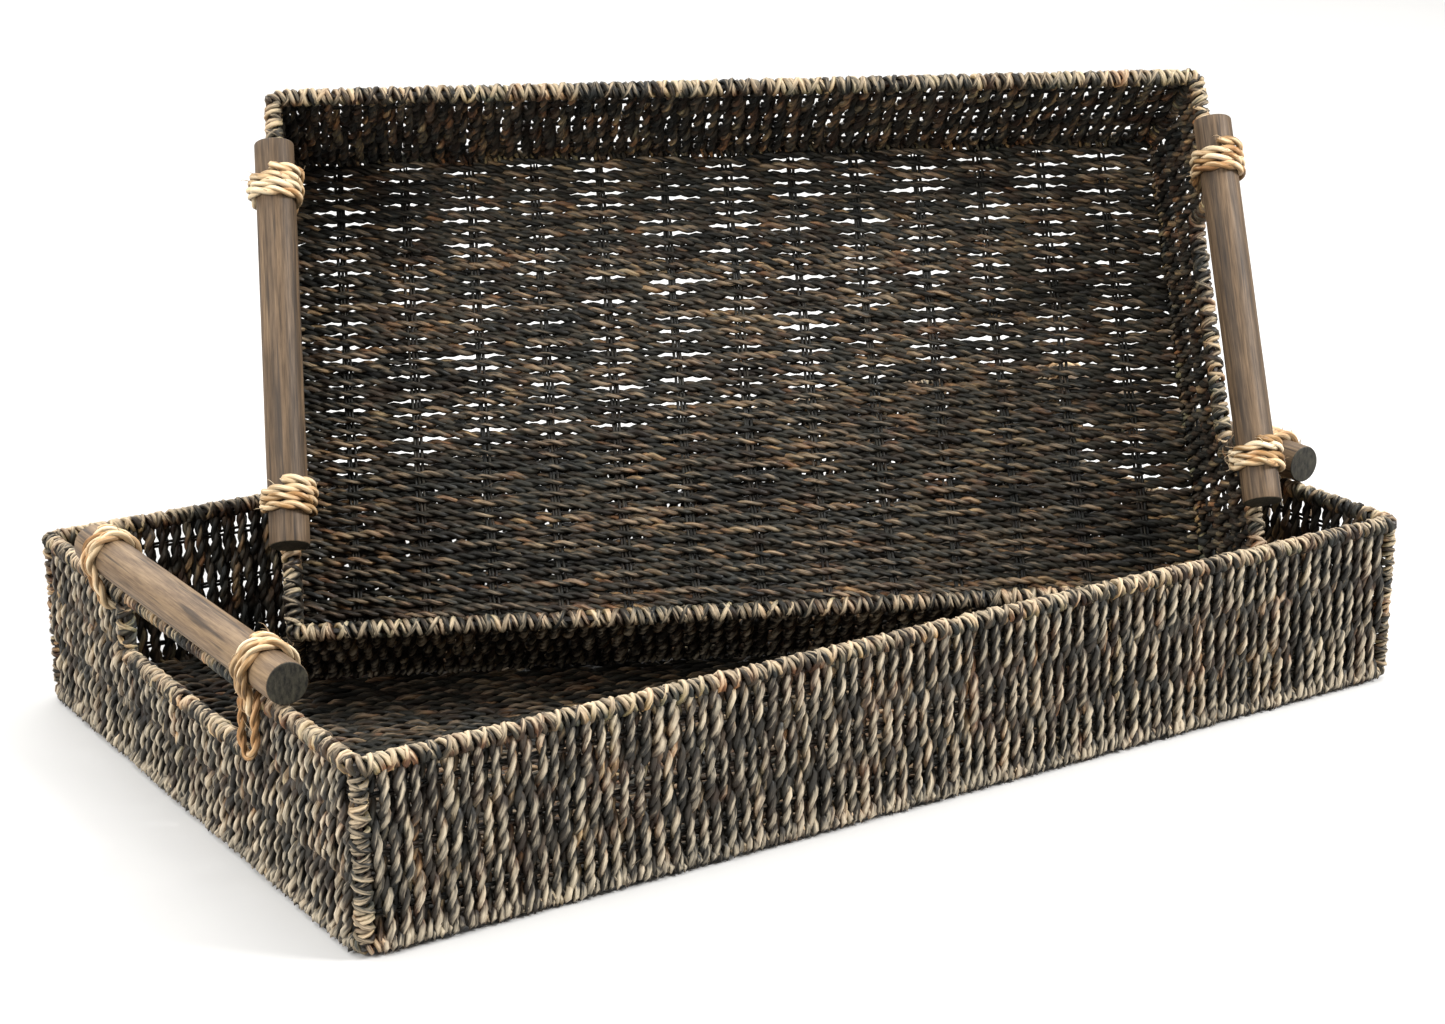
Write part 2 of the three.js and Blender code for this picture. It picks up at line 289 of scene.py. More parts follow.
def make_strands(tray, name, strands, material, nodes, sides=5):
    """Sweeps strands into one closed mesh on a tray, with each one's tone, length, and wear with painted
    highlight kept.

    own is a number that no two strands share, so that no two have the same markings. proud is
    one where the surface faces straight out or in, and falls to zero down a strand's sides, where it sets
    the painted shade.
    """
    curve = bpy.data.curves.new(name, "CURVE")
    curve.dimensions = "3D"
    curve.bevel_mode = "OBJECT"
    section = ring_of(sides)
    curve.bevel_object = section
    for piece in strands:
        count = len(piece.path)
        spline = curve.splines.new("POLY")
        spline.points.add(count - 1)
        places = np.ones((count, 4))
        places[:, :3] = piece.path @ tray.turn.T * MM + tray.origin
        spline.points.foreach_set("co", places.ravel())
        thickness = piece.radius * MM
        thickness[[0, -1]] = 0.0       # a strand's two ends close to a point
        spline.points.foreach_set("radius", thickness)
    drawn = bpy.data.objects.new(name, curve)
    bpy.context.scene.collection.objects.link(drawn)
    graph = bpy.context.evaluated_depsgraph_get()
    mesh = bpy.data.meshes.new_from_object(drawn.evaluated_get(graph))
    bpy.data.objects.remove(drawn)
    bpy.data.curves.remove(curve)
    bpy.data.objects.remove(section)
    places = np.empty(len(mesh.vertices) * 3)
    mesh.vertices.foreach_get("co", places)

    def round_each(values):
        """Each point's value, given to every vertex of the ring round it."""
        return np.repeat(np.concatenate(values), sides, axis=0)

    middles = round_each([piece.path for piece in strands]) @ tray.turn.T * MM + tray.origin
    out = unit(places.reshape(-1, 3) - middles)
    ways = round_each([piece.facing for piece in strands]) @ tray.turn.T
    turned = np.sum(out * ways, axis=1)
    wear_and_highlight = round_each([piece.wear_and_highlight for piece in strands])
    # The wear mask grows on the side of each strand that faces out: real rubbing, and a painted highlight
    # there. proud sets the painted shade down a strand's sides.
    per_vertex = {
        "tone": round_each([piece.tone for piece in strands]),
        "own": round_each([np.full(len(piece.path), piece.own) for piece in strands]),
        "along": round_each([piece.run for piece in strands]),
        "wear_and_highlight": wear_and_highlight * (0.25 + 0.75 * np.clip(turned, 0.0, 1.0)),
        "proud": np.abs(turned),
    }
    for key, values in per_vertex.items():
        layer = mesh.attributes.new(key, "FLOAT", "POINT")
        layer.data.foreach_set("value", values.astype(np.float32))
    shape = bmesh.new()
    shape.from_mesh(mesh)
    bmesh.ops.remove_doubles(shape, verts=shape.verts, dist=1e-7)
    shape.to_mesh(mesh)
    shape.free()
    mesh.materials.clear()
    mesh.materials.append(material)
    piece = bpy.data.objects.new(name, mesh)
    bpy.context.scene.collection.objects.link(piece)
    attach(piece, tray.body)
    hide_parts(*nodes)
    return piece


def seagrass(name, tones, worn_and_lit, wear_and_highlight_from, lit_dusty_cast, side_shade=0.42, cast_share=1.0):
    """Twisted and dyed seagrass leaf: dull, faintly waxy, with fine lines along each strand.

    The dye takes unevenly, so strands run from black through olive and brown to tan, and it
    rubs off where a strand stands proud; the paler colour there is also a painted highlight on
    the side of each strand that faces out. lit_dusty_cast is a pale grey cast on the outside
    faces, partly dust and partly painted light where they face the lamps, side_shade is how
    much of its brightness a strand keeps down its sides, as painted shade, and cast_share is
    how strongly the dye leans to red or blue from place to place.
    """
    material, tree, shader = new_material(name)
    tone, own, along, wear_and_highlight, proud = (
        add_node(tree, "ShaderNodeAttribute", attribute_name=key).outputs["Fac"]
        for key in ("tone", "own", "along", "wear_and_highlight", "proud"))
    place = add_node(tree, "ShaderNodeTexCoord").outputs["Object"]
    around = add_node(tree, "ShaderNodeSeparateXYZ",
                      [("Vector", add_node(tree, "ShaderNodeUVMap", uv_map="UVMap").outputs["UV"])])

    def lines(length, count, seed, detail):
        """Noise drawn out along the strand: length in mm, and how many lines go round it."""
        run = add_node(tree, "ShaderNodeMath", [(0, along)], operation="DIVIDE")
        run.inputs[1].default_value = length
        rim = add_node(tree, "ShaderNodeMath", [(0, around.outputs["Y"])], operation="MULTIPLY")
        rim.inputs[1].default_value = count
        apart = add_node(tree, "ShaderNodeMath", [(0, own)], operation="MULTIPLY")
        apart.inputs[1].default_value = seed
        spot = add_node(tree, "ShaderNodeCombineXYZ",
                        [("X", run.outputs[0]), ("Y", rim.outputs[0]), ("Z", apart.outputs[0])])
        return add_node(tree, "ShaderNodeTexNoise", [("Vector", spot.outputs[0])],
                        Scale=1.0, Detail=detail, Roughness=0.6).outputs["Fac"]

    leaf = lines(22.0, 2.0, 61.0, 2.0)        # a single leaf shows for about 20 mm
    ribbing = lines(8.0, 7.0, 97.0, 2.0)      # ribs in the leaf, about half a millimetre apart
    fibre = add_node(tree, "ShaderNodeMapRange", [("Value", ribbing)],
                     From_Min=0.34, From_Max=0.66).outputs[0]
    patch = add_node(tree, "ShaderNodeTexNoise", [("Vector", place)], Scale=26.0, Detail=2.0).outputs["Fac"]

    def sum_of(parts, start=0.0):
        """Adds weighted values together."""
        total = None
        for value, weight in parts:
            step = add_node(tree, "ShaderNodeMath", [(0, value)], operation="MULTIPLY_ADD")
            step.inputs[1].default_value = weight
            if total is None:
                step.inputs[2].default_value = start
            else:
                tree.links.new(total, step.inputs[2])
            total = step.outputs[0]
        return total

    pick = sum_of([(tone, 0.6), (leaf, 0.8), (fibre, 0.25), (patch, 0.4)], -0.53)
    ramp = add_node(tree, "ShaderNodeValToRGB", [("Fac", pick)])
    set_colours(ramp, tones)
    dyes = add_node(tree, "ShaderNodeTexNoise", [("Vector", place)], Scale=75.0, Detail=1.0).outputs["Fac"]
    dye_pick = sum_of([(own, 0.5), (dyes, 2.2)], -0.85)
    cast = add_node(tree, "ShaderNodeValToRGB", [("Fac", dye_pick)])
    set_colours(cast, [(0.0, "#f2bea0"), (0.35, "#fae9d6"), (0.65, "#d6ddd6"), (1.0, "#abc4d2")])
    dyed = add_node(tree, "ShaderNodeMix", data_type="RGBA", blend_type="MULTIPLY")
    dyed.inputs["Factor"].default_value = cast_share
    tree.links.new(ramp.outputs["Color"], dyed.inputs["A"])
    tree.links.new(cast.outputs["Color"], dyed.inputs["B"])
    # Paler worn colour: real rubbing, and a painted highlight where a strand's crest faces out.
    rubbed_and_lit = sum_of([(wear_and_highlight, 1.0), (leaf, 0.6), (fibre, 0.5), (tone, 0.5)], -0.8)
    edge = add_node(tree, "ShaderNodeMapRange", [("Value", rubbed_and_lit)],
                    From_Min=wear_and_highlight_from, From_Max=wear_and_highlight_from + 0.7, To_Max=0.85)
    shown = add_node(tree, "ShaderNodeMix", [("Factor", edge.outputs[0])], data_type="RGBA")
    tree.links.new(dyed.outputs["Result"], shown.inputs["A"])
    shown.inputs["B"].default_value = srgb(worn_and_lit)
    # A pale grey cast on the outward faces: partly dust, partly painted light where they face the lamps.
    lit_dust = add_node(tree, "ShaderNodeMath", [(0, wear_and_highlight)], operation="MULTIPLY")
    lit_dust.inputs[1].default_value = lit_dusty_cast
    pale = add_node(tree, "ShaderNodeMix", [("Factor", lit_dust.outputs[0])], data_type="RGBA")
    tree.links.new(shown.outputs["Result"], pale.inputs["A"])
    pale.inputs["B"].default_value = srgb("#8f867a")
    # Painted shade: each strand's colour is darkened down its sides, where it turns away from the face.
    painted_side_shade = add_node(tree, "ShaderNodeMapRange", [("Value", proud)],
                       From_Min=0.1, From_Max=0.9, To_Min=side_shade)
    side_shaded = add_node(tree, "ShaderNodeVectorMath",
                      [(0, pale.outputs["Result"]), ("Scale", painted_side_shade.outputs[0])], operation="SCALE")
    tree.links.new(side_shaded.outputs[0], shader.inputs["Base Color"])
    dull = add_node(tree, "ShaderNodeMapRange", [("Value", fibre)], To_Min=0.42, To_Max=0.68)
    tree.links.new(dull.outputs[0], shader.inputs["Roughness"])
    ribs = add_node(tree, "ShaderNodeBump", [("Height", fibre)], Strength=0.55)
    ribs.inputs["Distance"].default_value = 0.35 * MM
    tree.links.new(ribs.outputs["Normal"], shader.inputs["Normal"])
    shader.inputs["IOR"].default_value = 1.45
    shader.inputs["Specular IOR Level"].default_value = 0.22
    return material


SPLICED_SHARE = 0.3        # share of cords with a splice
SPLICE_SWELL = 0.3         # share by which it is fatter
SPLICE_LENGTH = 5.0        # from its middle to where it has mostly thinned out


def splice(run, luck):
    """Some cords have a fat place where a new leaf was twisted in."""
    if luck.random() > SPLICED_SHARE:
        return np.zeros(len(run))
    return SPLICE_SWELL * np.exp(-((run - luck.uniform(run[0], run[-1])) / SPLICE_LENGTH) ** 2)


FLATNESS = 1.3             # the higher, the flatter a cord runs over a row before it dives
FOOT_LENGTH = 7.0          # how soon a cord settles into the weave above its foot
DRAWN_THIN = 0.22          # share of its thickness that a cord loses where it crosses a row


def weave(origin, across, along, out, cords, rows, luck, radius, depth, lay, step,
          two_sided, loose, foot=0.0):
    """Plain weave: cords given as (place across, start, end) go over and under crossing rows.

    radius is a strand's, depth is how far a cord swings each way from the middle of the weave,
    step is the spacing of its points, and loose is how far it wanders sideways. two_sided is for
    a panel seen and worn on both faces. foot is how far out the cords stand at their start,
    where they pass over an edge.
    """
    origin, across, along, out = (np.array(vector, float) for vector in (origin, across, along, out))
    gap = rows[1] - rows[0]
    strands = []
    for number, (place, start, end) in enumerate(cords):
        run = np.linspace(start, end, max(6, int((end - start) / step)))
        phase = math.pi * (run - rows[0] + drift(run, 60.0, 0.8, luck)) / gap
        crossing = np.cos(phase)           # one over a row, minus one under the next
        wave = np.tanh(FLATNESS * crossing) / math.tanh(FLATNESS) * (1 if number % 2 else -1)
        sway = drift(run, gap, loose, luck) + drift(run, 3 * gap, loose, luck)
        at_foot = np.exp(-((run - start) / FOOT_LENGTH) ** 2) if foot else 0.0
        lift = depth * wave * (1 - at_foot) + foot * at_foot + drift(run, 14.0, 0.2, luck)
        centre = origin + along * run[:, None] + across * (place + sway)[:, None] + out * lift[:, None]
        facing = np.broadcast_to(out, centre.shape)
        swell = luck.normal(1.0, 0.03) * (1.1 - DRAWN_THIN * np.abs(crossing) ** 6)
        swell = swell * (1 + drift(run, gap / 2, 0.05, luck))
        swell = swell * (1 + splice(run, luck))
        own_lay = lay * luck.normal(1.0, 0.08)
        for path, thick, side in twist(centre, facing, radius, own_lay, luck, swell):
            # Plies standing proud on the seen face are paler: rubbed there, and a painted highlight on the
            # crests. On walls the inside face gets none, which darkens it: unrubbed, and painted shade.
            height = (lift + side * radius) / (depth + radius)
            wear_and_highlight = np.clip(np.abs(height) * 0.75 if two_sided else height, 0.0, 1.0)
            seen = facing * np.where(height < 0, -1.0, 1.0)[:, None] if two_sided else facing
            strands.append(strand(path, thick, wear_and_highlight, seen, luck))
    return strands


FIBRE_POINTS = 7


def stray_fibres(strands, count, length, radius, luck, towards=None):
    """Thin curved fibres that have worked loose and stick out of some of the strands.

    towards is the side that they stick out on, where that isn't the side the strand faces.
    """
    fibres = []
    for _ in range(count):
        piece = strands[int(luck.integers(len(strands)))]
        at = int(luck.integers(2, len(piece.path) - 2))
        heading = unit(piece.path[at + 1] - piece.path[at])
        side = piece.facing[at] if towards is None else np.array(towards)
        away = unit(side + luck.normal(0.0, 0.3, 3))
        reach = length * luck.uniform(0.4, 1.0)
        part = np.linspace(0.0, 1.0, FIBRE_POINTS)[:, None]
        bend = np.sin(part * luck.uniform(1.0, 2.6))
        path = piece.path[at] + heading * reach * part + away * (reach * 0.55) * bend
        path = path + luck.normal(0.0, 0.12, 3) * reach * part ** 2
        taper = radius * (1.1 - part[:, 0])
        pale = np.full(FIBRE_POINTS, 0.9)
        fibres.append(strand(path, taper, pale, away, luck, tone_from=0.5))
    return fibres


def warps(origin, across, along, out, spans, rows, luck, radius=0.85, count=3):
    """The thin cords that a weave is made on: count of them side by side along each row."""
    origin, across, along, out = (np.array(vector, float) for vector in (origin, across, along, out))
    strands = []
    for row, (start, end) in zip(rows, spans):
        for number in range(count):
            run = np.linspace(start, end, max(6, int((end - start) / 6.0)))
            place = row + (number - (count - 1) / 2) * radius * 2.1 + drift(run, 22.0, 0.4, luck)
            centre = origin + across * run[:, None] + along * place[:, None]
            centre = centre + out * drift(run, 12.0, 0.15, luck)[:, None]
            thickness = np.full(len(run), radius)
            no_wear = np.zeros(len(run))
            strands.append(strand(centre, thickness, no_wear, out, luck, tone_to=0.35))
    return strands


# Its worn colour is partly a painted highlight, with a faint lit grey cast and painted shade down each
# strand's sides.
base_seagrass = seagrass(
    "dyed_seagrass_base_cord",
    [(0.0, "#0f0e0c"), (0.28, "#201e1a"), (0.5, "#36332c"),
     (0.66, "#4a4137"), (0.82, "#705b44"), (1.0, "#a58b66")],
    "#96846e", 0.5, 0.03, cast_share=0.6)
CORD_RADIUS = 1.45         # of one of the two strands in a cord
BASE_ROW_GAP = 36.0        # from one bundle of crossing cords to the next
BASE_MIDDLE = 5.2          # height of the middle of the weave above the underside
BASE_DEPTH = 1.8           # the cords swing this far up and down from it
BASE_LOOSE = 0.36          # they wander sideways by about this
BASE_MARGIN = 1.5          # they stop this far inside the edge wires
CUT_VARIES = 0.4           # and their ends vary by about this
ROW_MARGIN = 8.0           # no bundle lies nearer to the cords' ends
BASE_FIBRES = 60           # stray fibres on one base, on its upper side
for tray, cord_gap, lay, step, parts, seed in (
        (large, 3.9, 18.0, 2.8, 3, 21), (small, 3.55, 16.0, 2.5, 2, 22)):
    luck = np.random.default_rng(seed)
    count = int((2 * (tray.y - BASE_MARGIN)) / cord_gap)
    places = (np.arange(count) - (count - 1) / 2) * cord_gap
    half = tray.x - BASE_MARGIN
    cords = [(place, -half + luck.normal(0, CUT_VARIES), half + luck.normal(0, CUT_VARIES))
             for place in places]
    rows_each_way = int((half - ROW_MARGIN) / BASE_ROW_GAP)
    rows = [BASE_ROW_GAP * number for number in range(-rows_each_way, rows_each_way + 1)]
    axes = ((0, 0, BASE_MIDDLE), (0, 1, 0), (1, 0, 0), (0, 0, 1))
    strands = weave(*axes, cords, rows, luck, CORD_RADIUS, BASE_DEPTH, lay, step, True, BASE_LOOSE)
    share = math.ceil(count / parts) * 2
    strands += stray_fibres(strands, BASE_FIBRES, 11.0, 0.28, luck, (0.0, 0.0, 1.0))
    node = f"{tray.prefix}_base_weave"
    for part in range(parts):
        end = (part + 1) * share if part + 1 < parts else None
        make_strands(tray, f"{tray.prefix}_base_cords_{part + 1}", strands[part * share:end],
                     base_seagrass, [node])
    spans = [(-tray.y + 2.0, tray.y - 2.0)] * len(rows)
    make_strands(tray, f"{tray.prefix}_base_crossing_cords", warps(*axes, spans, rows, luck),
                 base_seagrass, [node], sides=6)


# ---- Woven side walls ----
# The long walls are woven upright: cords stand side by side between the bottom wire and the
# rim wire, over and under three rows of thin cords. The outside has been handled and is paler,
# and it also carries a painted highlight and a pale cast of painted light.

# Its worn colour is partly a painted highlight, with a pale lit grey cast on the outside and painted shade
# down each strand's sides.
wall_seagrass = seagrass(
    "dyed_seagrass_wall_cord",
    [(0.0, "#121110"), (0.25, "#24211e"), (0.48, "#3b3732"),
     (0.66, "#574d43"), (0.82, "#806c53"), (1.0, "#b59d76")],
    "#cfc0a6", 0.42, 0.15, cast_share=0.75)
WALL_CORD_GAP = 3.75
WALL_STRAND = 1.6          # radius of one of the two strands in a cord
WALL_DEPTH = 2.05
WALL_LAY = 16.0
WALL_STEP = 2.4
WALL_LOOSE = 0.38
WALL_FOOT = 1.4            # the cords start this high, outside the bottom edge
FOOT_OUT = 3.6             # and there they stand this far out, to pass over its winding
SIDE_FIBRES = 25           # stray fibres on one wall
WALL_MARGIN = 4.5          # room for the corner posts at each end of a row of cords
WALL_WARP = 0.8            # radius of a crossing cord; they lie in pairs


def wall_rows(tray):
    """Heights of the three crossing rows of a wall, evenly between its two wires."""
    gap = (tray.top - tray.low) / 3
    return [tray.low + gap * (number + 0.5) for number in range(3)]


def wall_places(half_length):
    """Where a wall's cords stand, side by side along it."""
    count = int(2 * (half_length - WALL_MARGIN) / WALL_CORD_GAP)
    return (np.arange(count) - (count - 1) / 2) * WALL_CORD_GAP


for tray, seed in ((large, 31), (small, 32)):
    luck = np.random.default_rng(seed)
    places = wall_places(tray.x)
    rows = wall_rows(tray)
    for side, sign in (("front", -1), ("back", 1)):
        cords = [(place, WALL_FOOT + luck.normal(0, CUT_VARIES), tray.top) for place in places]
        axes = ((0, sign * tray.y, 0), (1, 0, 0), (0, 0, 1), (0, sign, 0))
        strands = weave(*axes, cords, rows, luck, WALL_STRAND, WALL_DEPTH, WALL_LAY, WALL_STEP,
                        False, WALL_LOOSE, FOOT_OUT)
        strands += stray_fibres(strands, SIDE_FIBRES, 8.0, 0.25, luck)
        node = f"{tray.prefix}_{side}_wall_weave"
        make_strands(tray, f"{tray.prefix}_{side}_wall_cords", strands, wall_seagrass,
                     [node])
        spans = [(-tray.x + 3.0, tray.x - 3.0)] * 3
        crossing = warps(*axes, spans, rows, luck, WALL_WARP, 2)
        make_strands(tray, f"{tray.prefix}_{side}_wall_crossing_cords", crossing, wall_seagrass,
                     [node], sides=6)


# ---- Woven end walls ----
# The short walls are woven like the long ones, but a hand slot drops into the middle of each,
# so the cords there stop lower down and the top crossing row is in two parts.

END_FIBRES = 14
for tray, seed in ((large, 41), (small, 42)):
    luck = np.random.default_rng(seed)
    places = wall_places(tray.y)
    rows = wall_rows(tray)
    for side, sign in (("left", -1), ("right", 1)):
        cords = []
        for place in places:
            in_slot = abs(place - tray.shift) < tray.slot_line - 1.0
            end = tray.slot_low if in_slot else tray.top
            cords.append((place, WALL_FOOT + luck.normal(0, CUT_VARIES), end))
        axes = ((sign * tray.x, 0, 0), (0, 1, 0), (0, 0, 1), (sign, 0, 0))
        strands = weave(*axes, cords, rows, luck, WALL_STRAND, WALL_DEPTH, WALL_LAY, WALL_STEP,
                        False, WALL_LOOSE, FOOT_OUT)
        strands += stray_fibres(strands, END_FIBRES, 8.0, 0.25, luck)
        node = f"{tray.prefix}_{side}_end_weave"
        make_strands(tray, f"{tray.prefix}_{side}_end_cords", strands, wall_seagrass,
                     [node])
        reach = tray.y - 3.0
        near, far = tray.shift - tray.slot_line, tray.shift + tray.slot_line
        spans = [(-reach, reach), (-reach, reach), (-reach, near)]
        crossing = warps(*axes, spans, rows, luck, WALL_WARP, 2)
        crossing += warps(*axes, [(far, reach)], rows[2:], luck, WALL_WARP, 2)
        make_strands(tray, f"{tray.prefix}_{side}_end_crossing_cords", crossing, wall_seagrass,
                     [node], sides=6)


# ---- Bottom edge bindings ----
# A cord is wound tightly round the bottom wire and pulls the wall and the base together.
# The rims and corner posts are bound in the same way, so they share this section's maker.

# Its worn colour is partly a painted highlight, with a faint lit grey cast and painted shade down each
# strand's sides.
binding_seagrass = seagrass(
    "dyed_seagrass_binding_cord",
    [(0.0, "#151311"), (0.25, "#2b2723"), (0.45, "#484138"),
     (0.62, "#6b5e4f"), (0.8, "#97835f"), (1.0, "#c4ab80")],
    "#c3af92", 0.4, 0.03, 0.46)
WIND_RADIUS = 3.2          # from the wire's middle to the winding strand's middle
WIND_STRAND = 1.6          # radius of the strand
WIND_GAP = 3.7             # from one strand to the next along the wire
WIND_POINTS = 9            # points drawn in one turn


def rounded(corners, bend):
    """A path through corners with each bend rounded, as closely spaced points."""
    corners = np.array(corners, float)
    path = [corners[0]]
    for before, here, after in zip(corners[:-2], corners[1:-1], corners[2:]):
        start = here + unit(before - here) * bend
        end = here + unit(after - here) * bend
        for part in np.linspace(0.0, 1.0, 9):
            path.append((1 - part) ** 2 * start + 2 * part * (1 - part) * here + part ** 2 * end)
    path.append(corners[-1])
    path = np.array(path)
    run = run_along(path)
    even = np.linspace(0.0, run[-1], max(8, int(run[-1] / 1.5)))
    return np.stack([np.interp(even, run, path[:, axis]) for axis in range(3)], axis=1)


def wind(path, flat, worn_side, luck, reach=WIND_RADIUS, radius=WIND_STRAND, gap=WIND_GAP,
         back_gap=9.0):
    """Winds two strands side by side round a wire, and one back across them at back_gap.

    The wire lies in a plane whose normal is flat. worn_side points to where it is rubbed most.
    """
    strands = [wind_one(path, flat, worn_side, luck, reach, radius, 2 * gap, start)
               for start in (0.0, math.pi)]
    if back_gap:
        over = reach + 0.5
        strands.append(wind_one(path, flat, worn_side, luck, over, radius * 0.9, back_gap, 0.0, -1))
    return strands


def wind_one(path, flat, worn_side, luck, reach, radius, gap, start, way=1):
    """Winds one strand round a wire, from an angle round it, right-handed or the other way."""
    run = run_along(path)
    turns = max(1, round(run[-1] / gap))
    angle = np.linspace(0.0, 2 * math.pi * turns, turns * WIND_POINTS + 1)
    uneven = (drift(angle, 2 * math.pi * 2.2, 0.7, luck) + drift(angle, 2.4, 0.5, luck)) * gap / 6
    uneven = uneven * np.clip(np.minimum(angle, angle[-1] - angle) / 6.0, 0.0, 1.0)
    place = np.clip(angle / angle[-1] * run[-1] + uneven, 0.0, run[-1])
    middle = np.stack([np.interp(place, run, path[:, axis]) for axis in range(3)], axis=1)
    heading = unit(np.gradient(path, axis=0))
    ahead = unit(np.stack([np.interp(place, run, heading[:, axis]) for axis in range(3)], axis=1))
    first = np.broadcast_to(np.array(flat, float), middle.shape)
    second = np.cross(ahead, first)
    spin = way * angle + start
    outward = np.cos(spin)[:, None] * first + np.sin(spin)[:, None] * second
    loose = reach * (1 + drift(angle, 3.0, 0.07, luck))
    centre = middle + outward * loose[:, None]
    thick = radius * (1 + drift(angle, 4.0, 0.1, luck))
    wear_and_highlight = np.clip(0.35 + 0.65 * outward @ np.array(worn_side, float), 0.0, 1.0)
    return strand(centre, thick, wear_and_highlight, outward, luck, leaf=30.0)


def bind(tray, part, strands, node):
    """Makes a winding of a tray and hides the binding part that it stands in for."""
    make_strands(tray, f"{tray.prefix}_{part}_winding", strands, binding_seagrass,
                 [f"{tray.prefix}_{node}"])


def long_side(tray, sign, height):
    """The wire along a long side at one height, turned in at both corners."""
    y = sign * tray.y
    turned_in = y - sign * CORNER_CUT
    return rounded([(-tray.x, turned_in, height), (-tray.x, y, height),
                    (tray.x, y, height), (tray.x, turned_in, height)], CORNER_CUT)


CORNER_CUT = 4.0           # a corner's bend takes this much from each of its two sides
BOTTOM_WINDING = {"reach": 2.95, "radius": 1.2, "gap": 2.9, "back_gap": 0.0}
for tray, seed in ((large, 51), (small, 52)):
    luck = np.random.default_rng(seed)
    for side, sign in (("front", -1), ("back", 1)):
        path = long_side(tray, sign, tray.low)
        strands = wind(path, (0, 0, 1), (0, sign * 0.8, -0.3), luck, **BOTTOM_WINDING)
        bind(tray, f"{side}_bottom", strands, f"{side}_bottom_binding")
    for side, sign in (("left", -1), ("right", 1)):
        x = sign * tray.x
        reach = tray.y - CORNER_CUT
        path = rounded([(x, -reach, tray.low), (x, 0, tray.low), (x, reach, tray.low)], CORNER_CUT)
        strands = wind(path, (0, 0, 1), (sign * 0.8, 0, -0.3), luck, **BOTTOM_WINDING)
        bind(tray, f"{side}_bottom", strands, f"{side}_bottom_binding")


# ---- Corner posts ----
# An upright wire stands at each corner, wound level from the bottom edge to the rim, and
# holds the ends of the crossing cords.

POST_INSET = 1.0           # a post stands this far inside the corner of the edge wires
POST_WINDING = {"reach": 3.2, "radius": 1.3, "gap": 2.9, "back_gap": 7.0}
for tray, seed in ((large, 61), (small, 62)):
    luck = np.random.default_rng(seed)
    for end, x_sign in (("left", -1), ("right", 1)):
        for side, y_sign in (("front", -1), ("back", 1)):
            foot = (x_sign * (tray.x - POST_INSET), y_sign * (tray.y - POST_INSET))
            heights = (tray.low + 2.0, tray.top / 2, tray.top - 3.0)
            path = rounded([(*foot, height) for height in heights], 4.0)
            worn_side = (x_sign * 0.6, y_sign * 0.6, 0)
            strands = wind(path, (1, 0, 0), worn_side, luck, **POST_WINDING)
            bind(tray, f"{side}_{end}_corner", strands, f"{side}_{end}_corner_binding")


# ---- Rims ----
# The top wire is wound all round, and its top is the palest and most rubbed part of the tray. At
# each end it bends down, runs under the hand slot and comes up again, and a thin rail, wound
# more finely, closes the slot at rim height, under the dowel.

SLOT_BEND = 7.0
RAIL_WINDING = {"reach": 2.1, "radius": 1.15, "gap": 2.5, "back_gap": 0.0}
for tray, seed, rubbed_top in ((large, 71, 1.0), (small, 72, 0.65)):
    luck = np.random.default_rng(seed)
    for side, sign in (("front", -1), ("back", 1)):
        strands = wind(long_side(tray, sign, tray.top), (0, 0, 1), (0, 0.2 * sign, rubbed_top), luck)
        bind(tray, f"{side}_rim", strands, f"{side}_rim_binding")
    for side, sign in (("left", -1), ("right", 1)):
        x = sign * tray.x
        reach = tray.y - CORNER_CUT
        near, far = tray.shift - tray.slot_line, tray.shift + tray.slot_line
        path = rounded([(x, -reach, tray.top), (x, near, tray.top), (x, near, tray.slot_low),
                        (x, far, tray.slot_low), (x, far, tray.top), (x, reach, tray.top)], SLOT_BEND)
        strands = wind(path, (1, 0, 0), (0.25 * sign, 0, 0.85 * rubbed_top), luck)
        bind(tray, f"{side}_rim", strands, f"{side}_rim_binding")
        rail = (near + 4.0, tray.shift, far - 4.0)
        path = rounded([(x, place, tray.top) for place in rail], 4.0)
        strands = wind(path, (1, 0, 0), (0.2 * sign, 0, 0.6), luck, **RAIL_WINDING)
        bind(tray, f"{side}_rail", strands, f"{side}_handle_rail")


# ---- Dowel handles ----
# Each handle is a 20 mm dowel of a light hardwood, stained grey-brown and left matt. It is sawn
# square with the edge just broken, and its end grain has drunk the stain and gone nearly black.

